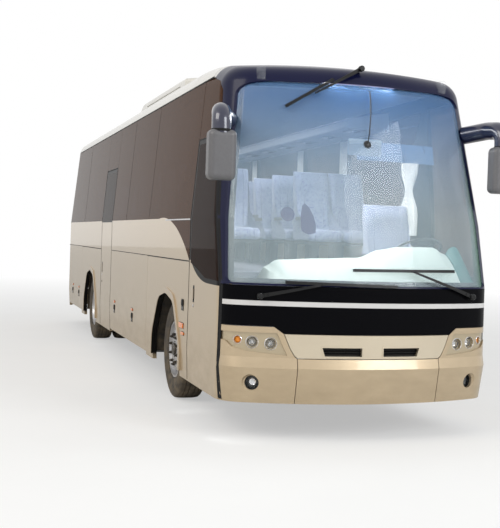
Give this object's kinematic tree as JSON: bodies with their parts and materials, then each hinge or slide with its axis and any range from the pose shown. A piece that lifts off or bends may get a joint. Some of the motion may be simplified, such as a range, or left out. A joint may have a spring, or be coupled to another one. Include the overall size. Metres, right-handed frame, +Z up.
{
  "type": "coach bus",
  "caption": "Twelve-metre high-deck touring coach with steered front wheels, twin rear wheels, swing doors, lifting luggage flaps and hatches.",
  "frame": {"origin": "on the road under the middle of the body", "axes": "+X forward along the coach, +Y to its left, +Z up"},
  "size_m": [12.0399, 2.89, 3.55],
  "materials": {
    "frame_paint": "satin black chassis paint",
    "floor_covering": "flecked vinyl floor",
    "bay_lining": "ribbed grey lining",
    "underseal": "sprayed black underseal",
    "axle_iron": "black painted casting",
    "engine_iron": "painted casting",
    "body_paint": "champagne metallic paint, clear coated",
    "navy_paint": "near-black blue gloss paint",
    "black_trim": "black moulded trim",
    "tinted_glass": "dark bronze tinted bonded glass",
    "clear_glass": "pale blue laminated glass",
    "hatch_plastic": "moulded white plastic",
    "lamp_bowl": "satin champagne plate with bright bowls",
    "lamp_lens": "moulded clear and amber lenses",
    "red_lens": "red moulded lens",
    "bright_steel": "plated steel",
    "grey_plastic": "grained grey plastic",
    "dash_plastic": "pale grey moulded dash",
    "seat_cloth": "patterned pale blue-purple moquette",
    "rack_plastic": "light grey lined rack",
    "tyre_rubber": "worn black rubber",
    "rim_steel": "silver painted steel"
  },
  "bodies": {
    "root": {"frame_rails": "frame_paint", "cross_members": "frame_paint", "towing_lugs": "frame_paint", "floor_deck": "floor_covering", "stairwells": "floor_covering", "luggage_bay": "bay_lining", "wheel_housings": "underseal", "front_axle": "axle_iron", "rear_axle": "axle_iron", "engine": "engine_iron", "side_panels": "body_paint", "window_pillars": "black_trim", "window_glass": "tinted_glass", "roof": "body_paint", "roof_pod": "body_paint", "front_shell": "navy_paint", "windscreen": "clear_glass", "front_panel": "navy_paint", "grille_panel": "body_paint", "front_bumper": "body_paint", "headlamps": "lamp_bowl", "fog_lamps": "black_trim", "lamp_lenses": "lamp_lens", "rear_cap": "body_paint", "rear_bumper": "body_paint", "tail_lamps": "red_lens", "mirror_arms": "navy_paint", "mirror_heads": "grey_plastic", "wipers": "black_trim", "dashboard": "dash_plastic", "driver_seat": "seat_cloth", "passenger_seats": "seat_cloth", "luggage_racks": "rack_plastic"},
    "knuckle_left": {"knuckle_left": "axle_iron"},
    "knuckle_right": {"knuckle_right": "axle_iron"},
    "wheel_front_left": {"tyre_front_left": "tyre_rubber", "rim_front_left": "rim_steel"},
    "wheel_front_right": {"tyre_front_right": "tyre_rubber", "rim_front_right": "rim_steel"},
    "wheel_rear_left": {"tyre_rear_left": "tyre_rubber", "rim_rear_left": "rim_steel"},
    "wheel_rear_right": {"tyre_rear_right": "tyre_rubber", "rim_rear_right": "rim_steel"},
    "steering_wheel": {"steering_wheel": "black_trim"},
    "front_door_arm": {"front_door_arm": "bright_steel"},
    "front_door": {"front_door_leaf": "body_paint", "front_door_glass": "tinted_glass"},
    "mid_door_arm": {"mid_door_arm": "bright_steel"},
    "mid_door": {"mid_door_leaf": "body_paint", "mid_door_glass": "tinted_glass"},
    "luggage_flap_right": {"luggage_flap_right": "body_paint"},
    "luggage_flap_left": {"luggage_flap_left": "body_paint"},
    "rear_flap_right": {"rear_flap_right": "body_paint"},
    "rear_flap_left": {"rear_flap_left": "body_paint"},
    "engine_hatch": {"engine_hatch": "body_paint"},
    "roof_hatch_front": {"roof_hatch_front": "hatch_plastic"},
    "roof_hatch_rear": {"roof_hatch_rear": "hatch_plastic"}
  },
  "joints": [
    {"name": "steer_left", "type": "hinge", "parent": "root", "child": "knuckle_left", "pos_m": [3.43, 0.86, 0.515], "axis": [0, 0, 1], "range_deg": [-40, 40]},
    {"name": "spin_front_left", "type": "hinge", "parent": "knuckle_left", "child": "wheel_front_left", "pos_m": [3.43, 1.045, 0.515], "axis": [0, 1, 0], "continuous": true},
    {"name": "spin_rear_left", "type": "hinge", "parent": "root", "child": "wheel_rear_left", "pos_m": [-2.65, 0.9, 0.515], "axis": [0, 1, 0], "continuous": true},
    {"name": "luggage_flap_left_lift", "type": "hinge", "parent": "root", "child": "luggage_flap_left", "pos_m": [0.92, 1.275, 1.475], "axis": [1, 0, 0], "range_deg": [0, 90]},
    {"name": "rear_flap_left_lift", "type": "hinge", "parent": "root", "child": "rear_flap_left", "pos_m": [-4.64, 1.275, 1.475], "axis": [1, 0, 0], "range_deg": [0, 90]},
    {"name": "steer_right", "type": "hinge", "parent": "root", "child": "knuckle_right", "pos_m": [3.43, -0.86, 0.515], "axis": [0, 0, 1], "range_deg": [-40, 40]},
    {"name": "spin_front_right", "type": "hinge", "parent": "knuckle_right", "child": "wheel_front_right", "pos_m": [3.43, -1.045, 0.515], "axis": [0, 1, 0], "continuous": true},
    {"name": "spin_rear_right", "type": "hinge", "parent": "root", "child": "wheel_rear_right", "pos_m": [-2.65, -0.9, 0.515], "axis": [0, 1, 0], "continuous": true},
    {"name": "luggage_flap_right_lift", "type": "hinge", "parent": "root", "child": "luggage_flap_right", "pos_m": [0.92, -1.275, 1.475], "axis": [-1, 0, 0], "range_deg": [0, 90]},
    {"name": "rear_flap_right_lift", "type": "hinge", "parent": "root", "child": "rear_flap_right", "pos_m": [-4.64, -1.275, 1.475], "axis": [-1, 0, 0], "range_deg": [0, 90]},
    {"name": "steering_wheel_turn", "type": "hinge", "parent": "root", "child": "steering_wheel", "pos_m": [5.17, 0.78, 1.656], "axis": [-0.4809, 0, 0.8768], "range_deg": [-650, 650]},
    {"name": "front_door_swing", "type": "hinge", "parent": "root", "child": "front_door_arm", "pos_m": [5.38, -1.18, 1], "axis": [0, 0, 1], "range_deg": [0, 145]},
    {"name": "front_door_turn", "type": "hinge", "parent": "front_door_arm", "child": "front_door", "pos_m": [4.83, -1.18, 1], "axis": [0, 0, 1], "range_deg": [-145, 0]},
    {"name": "mid_door_swing", "type": "hinge", "parent": "root", "child": "mid_door_arm", "pos_m": [-1.312, -1.18, 1], "axis": [0, 0, -1], "range_deg": [0, 145]},
    {"name": "mid_door_turn", "type": "hinge", "parent": "mid_door_arm", "child": "mid_door", "pos_m": [-0.862, -1.18, 1], "axis": [0, 0, -1], "range_deg": [-145, 0]},
    {"name": "engine_hatch_lift", "type": "hinge", "parent": "root", "child": "engine_hatch", "pos_m": [-6, 0, 1.643], "axis": [0, 1, 0], "range_deg": [0, 85]},
    {"name": "roof_hatch_front_lift", "type": "hinge", "parent": "root", "child": "roof_hatch_front", "pos_m": [3.15, 0, 3.47], "axis": [0, -1, 0], "range_deg": [0, 80]},
    {"name": "roof_hatch_rear_lift", "type": "hinge", "parent": "root", "child": "roof_hatch_rear", "pos_m": [-3.59, 0, 3.47], "axis": [0, -1, 0], "range_deg": [0, 80]}
  ],
  "couplings": [
    {"joint": "steer_right", "follows": "steer_left", "ratio": 1},
    {"joint": "steering_wheel_turn", "follows": "steer_left", "ratio": 16},
    {"joint": "front_door_turn", "follows": "front_door_swing", "ratio": -1},
    {"joint": "mid_door_turn", "follows": "mid_door_swing", "ratio": -1}
  ]
}
